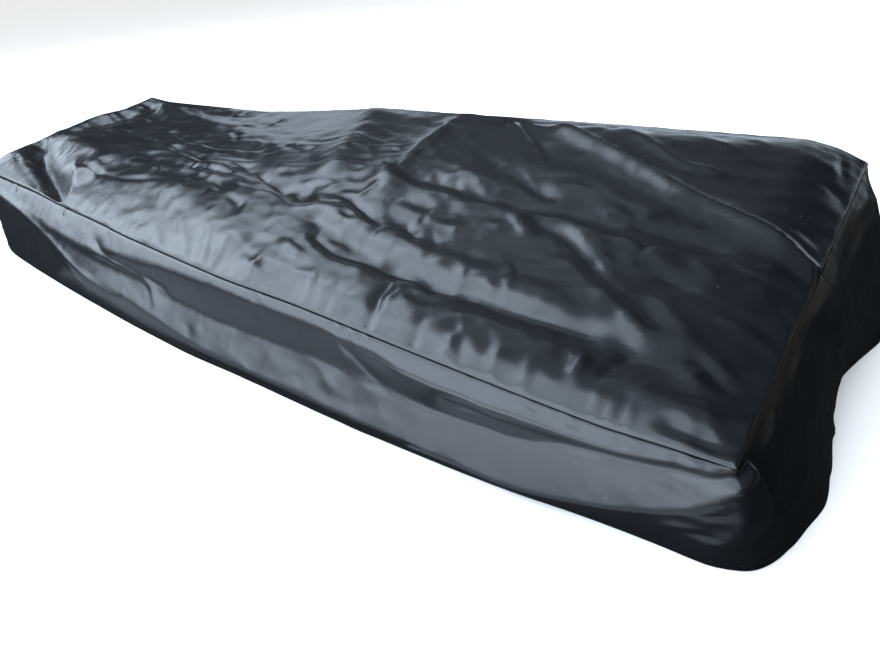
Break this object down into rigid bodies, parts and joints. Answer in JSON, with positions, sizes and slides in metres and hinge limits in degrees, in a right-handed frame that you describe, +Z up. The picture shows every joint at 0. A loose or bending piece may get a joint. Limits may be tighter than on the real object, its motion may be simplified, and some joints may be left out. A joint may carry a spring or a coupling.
{
  "type": "keyboard piano dust cover",
  "caption": "Long fitted dust cover of black coated cloth, hollow and open below, with a sloping top panel and draped hemmed sides.",
  "frame": {"origin": "middle of the cover's box at the level of its hem", "axes": "+X along the instrument, from its low notes to its high ones, +Y to its back, +Z up"},
  "size_m": [1.5356, 0.5406, 0.2281],
  "materials": {
    "black_cloth": "black coated polyester with a soft semi-gloss"
  },
  "bodies": {
    "root": {"top_panel": "black_cloth", "front_band": "black_cloth", "back_band": "black_cloth"}
  },
  "joints": []
}
